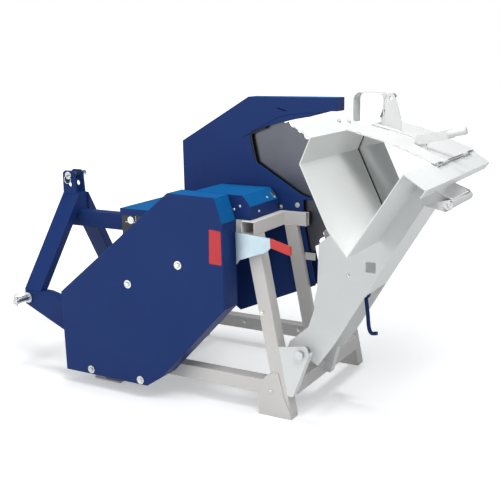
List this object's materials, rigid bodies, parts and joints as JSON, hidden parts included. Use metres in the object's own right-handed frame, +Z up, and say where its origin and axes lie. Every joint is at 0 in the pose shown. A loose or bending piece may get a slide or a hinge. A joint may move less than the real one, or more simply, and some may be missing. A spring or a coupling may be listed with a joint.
{
  "type": "firewood_circular_saw",
  "caption": "Tilting-cradle firewood circular saw for a tractor hitch: leaning tube frame, guarded large blade, vee log trough on swinging arms, belt drive under a cover",
  "frame": {"origin": "Middle of the box round the machine in X and Y, on the floor under the feet.", "axes": "+X runs from the tractor hitch to the operator, +Y from the belt side to the back, +Z up."},
  "size_m": [2.055, 1.0062, 1.293],
  "materials": {
    "frame_paint": "satin",
    "blue_paint": "satin",
    "cradle_paint": "satin",
    "white_paint": "satin",
    "bright_steel": "satin",
    "blade_steel": "satin",
    "cast_iron": "matte",
    "rubber": "matte",
    "black_plastic": "matte",
    "galvanised": "satin",
    "red_plastic": "gloss"
  },
  "bodies": {
    "frame": {"near_right_foot": "frame_paint", "near_right_leg": "frame_paint", "far_right_foot": "frame_paint", "far_right_leg": "frame_paint", "near_left_foot": "frame_paint", "near_left_leg": "frame_paint", "far_left_foot": "frame_paint", "far_left_leg": "frame_paint", "near_base_rail": "frame_paint", "far_base_rail": "frame_paint", "right_base_rail": "frame_paint", "left_base_rail": "frame_paint", "near_top_rail": "frame_paint", "far_top_rail": "frame_paint", "left_top_rail": "frame_paint", "right_top_rail": "frame_paint", "middle_top_rail": "frame_paint", "inner_leg": "frame_paint", "gearbox_bearer": "frame_paint", "belt_cover": "blue_paint", "belt_cover_back": "blue_paint", "arbor_bed": "blue_paint", "arbor_housing": "blue_paint", "deck_cover": "blue_paint", "guard_hood": "blue_paint", "guard_rear": "blue_paint", "mast_head": "blue_paint", "near_mast_leg": "blue_paint", "near_brace": "blue_paint", "far_mast_leg": "blue_paint", "far_brace": "blue_paint", "near_pivot_bracket": "cradle_paint", "rear_pivot_bracket": "cradle_paint", "pivot_shaft": "bright_steel", "near_lower_pin": "bright_steel", "far_lower_pin": "bright_steel", "gearbox": "cast_iron", "front_bearing": "cast_iron", "rear_bearing": "cast_iron", "drive_belt": "rubber", "pto_shield": "black_plastic"},
    "cradle": {"trough": "cradle_paint", "near_arm": "cradle_paint", "rear_arm": "cradle_paint", "back_cover": "cradle_paint", "cradle_handle": "white_paint", "lid_hinge_pin": "bright_steel"},
    "rod": {"lock_rod": "blue_paint"},
    "lid": {"hold_down_lid": "white_paint", "hold_down_bracket": "white_paint"},
    "lever": {"lid_lever": "white_paint"},
    "arbor": {"arbor_shaft": "bright_steel", "saw_blade": "blade_steel", "clamp_flange": "bright_steel", "arbor_pulley": "cast_iron"},
    "drive": {"drive_pulley": "cast_iron"},
    "pto": {"pto_shaft": "bright_steel"},
    "tension": {"tension_lever": "galvanised", "tension_grip": "red_plastic"},
    "link_pin": {"top_link_pin": "bright_steel"}
  },
  "joints": [
    {"name": "cradle_tilt", "type": "hinge", "parent": "frame", "child": "cradle", "pos_m": [0.43452, -0.10315, 0.286], "axis": [0, -1, 0], "range_deg": [0, 32], "stiffness_Nm_per_rad": 60, "springref_deg": -34.38},
    {"name": "lid_hinge", "type": "hinge", "parent": "cradle", "child": "lid", "pos_m": [0.94726, 0.03935, 1.05862], "axis": [0, -1, 0], "range_deg": [-100, 0]},
    {"name": "lid_lever_turn", "type": "hinge", "parent": "lid", "child": "lever", "pos_m": [0.83452, -0.06015, 1.127], "axis": [0, -1, 0], "range_deg": [0, 50]},
    {"name": "lock_rod_swing", "type": "hinge", "parent": "cradle", "child": "rod", "pos_m": [0.63053, -0.06315, 0.508], "axis": [0, -1, 0], "range_deg": [-40, 40]},
    {"name": "drive_spin", "type": "hinge", "parent": "frame", "child": "drive", "pos_m": [-0.42747, -0.22315, 0.3], "axis": [0, 1, 0], "continuous": true},
    {"name": "arbor_spin", "type": "hinge", "parent": "frame", "child": "arbor", "pos_m": [0.09352, -0.13315, 0.858], "axis": [0, 1, 0], "continuous": true},
    {"name": "pto_spin", "type": "hinge", "parent": "frame", "child": "pto", "pos_m": [-0.55348, -0.08715, 0.3], "axis": [1, 0, 0], "continuous": true},
    {"name": "tension_turn", "type": "hinge", "parent": "frame", "child": "tension", "pos_m": [0.22753, -0.28815, 0.7], "axis": [0, -1, 0], "range_deg": [-12, 12]},
    {"name": "top_link_pin_slide", "type": "slide", "parent": "frame", "child": "link_pin", "axis": [0, -1, 0], "range_m": [0, 0.085]}
  ],
  "couplings": [
    {"joint": "arbor_spin", "follows": "drive_spin", "ratio": 3.5769},
    {"joint": "pto_spin", "follows": "drive_spin", "ratio": 1}
  ]
}
